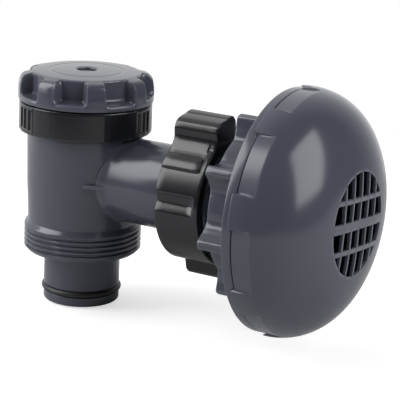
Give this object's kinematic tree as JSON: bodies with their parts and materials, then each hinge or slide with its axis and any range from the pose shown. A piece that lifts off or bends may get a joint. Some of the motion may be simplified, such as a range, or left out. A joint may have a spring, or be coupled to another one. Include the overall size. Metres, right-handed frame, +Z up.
{
  "type": "plunger valve with wall strainer",
  "caption": "Plunger valve with a turn-and-lift knob, hose thread and nipple below, and a union to a through-wall fitting with a domed strainer.",
  "frame": {"origin": "on the strainer axis, at the wall side of the flange", "axes": "+X along the strainer axis into the pool, +Z up along the valve stem"},
  "size_m": [0.1896, 0.12, 0.1268],
  "materials": {
    "grey_plastic": "semi-gloss moulded blue-grey plastic with a fine moulded grain",
    "black_plastic": "glossy near-black moulded plastic",
    "rubber": "matt black rubber",
    "hard_washer": "off-white hard plastic",
    "steel": "plain stainless steel"
  },
  "bodies": {
    "connector": {"strainer_connector": "grey_plastic", "wall_gasket_inner": "rubber", "wall_gasket_outer": "rubber"},
    "nut_washer": {"nut_slip_washer": "hard_washer"},
    "wall_nut": {"strainer_nut": "grey_plastic"},
    "dome": {"strainer_dome": "grey_plastic"},
    "step_washer": {"union_step_washer": "rubber"},
    "valve": {"valve_body": "grey_plastic", "nipple_o_ring": "rubber"},
    "slip_ring": {"union_slip_ring": "hard_washer"},
    "coupling_nut": {"union_nut": "black_plastic"},
    "bonnet_group": {"bonnet": "grey_plastic", "bonnet_o_ring": "rubber", "stem_o_ring_lower": "rubber", "stem_o_ring_upper": "rubber", "gland_ring": "hard_washer"},
    "bonnet_nut": {"lock_ring": "black_plastic"},
    "plunger": {"plunger_head": "grey_plastic", "plunger_seal": "rubber", "seal_retainer": "grey_plastic", "plunger_screw": "steel", "stem_clip": "steel"},
    "handle": {"knob": "grey_plastic", "knob_washer": "steel", "knob_screw": "steel", "stem": "grey_plastic"}
  },
  "joints": [
    {"name": "wall_nut_travel", "type": "slide", "parent": "connector", "child": "nut_washer", "axis": [-1, 0, 0], "range_m": [0, 0.006]},
    {"name": "wall_nut_turn", "type": "hinge", "parent": "nut_washer", "child": "wall_nut", "pos_m": [-0.012, 0, 0], "axis": [-1, 0, 0], "range_deg": [0, 720]},
    {"name": "dome_pull_off", "type": "slide", "parent": "connector", "child": "dome", "axis": [1, 0, 0], "range_m": [0, 0.02]},
    {"name": "valve_pull_off", "type": "slide", "parent": "connector", "child": "step_washer", "axis": [-1, 0, 0], "range_m": [0, 0.025]},
    {"name": "valve_swivel", "type": "hinge", "parent": "step_washer", "child": "valve", "pos_m": [-0.045, 0, 0], "axis": [1, 0, 0], "range_deg": [-90, 90]},
    {"name": "union_nut_travel", "type": "slide", "parent": "valve", "child": "slip_ring", "axis": [-1, 0, 0], "range_m": [0, 0.015]},
    {"name": "union_nut_turn", "type": "hinge", "parent": "slip_ring", "child": "coupling_nut", "pos_m": [-0.04, 0, 0], "axis": [-1, 0, 0], "range_deg": [0, 1080]},
    {"name": "bonnet_lift", "type": "slide", "parent": "valve", "child": "bonnet_group", "axis": [0, 0, 1], "range_m": [0, 0.008]},
    {"name": "lock_ring_turn", "type": "hinge", "parent": "bonnet_group", "child": "bonnet_nut", "pos_m": [-0.1145, 0, 0.03], "axis": [0, 0, 1], "range_deg": [0, 720]},
    {"name": "plunger_lift", "type": "slide", "parent": "bonnet_group", "child": "plunger", "axis": [0, 0, 1], "range_m": [0, 0.03]},
    {"name": "knob_turn", "type": "hinge", "parent": "plunger", "child": "handle", "pos_m": [-0.1145, 0, 0.045], "axis": [0, 0, 1], "range_deg": [0, 90]}
  ],
  "couplings": [
    {"joint": "wall_nut_travel", "follows": "wall_nut_turn", "m_per_rad": 0.00047746},
    {"joint": "union_nut_travel", "follows": "union_nut_turn", "m_per_rad": 0.00079577},
    {"joint": "bonnet_lift", "follows": "lock_ring_turn", "m_per_rad": 0.00063662}
  ]
}
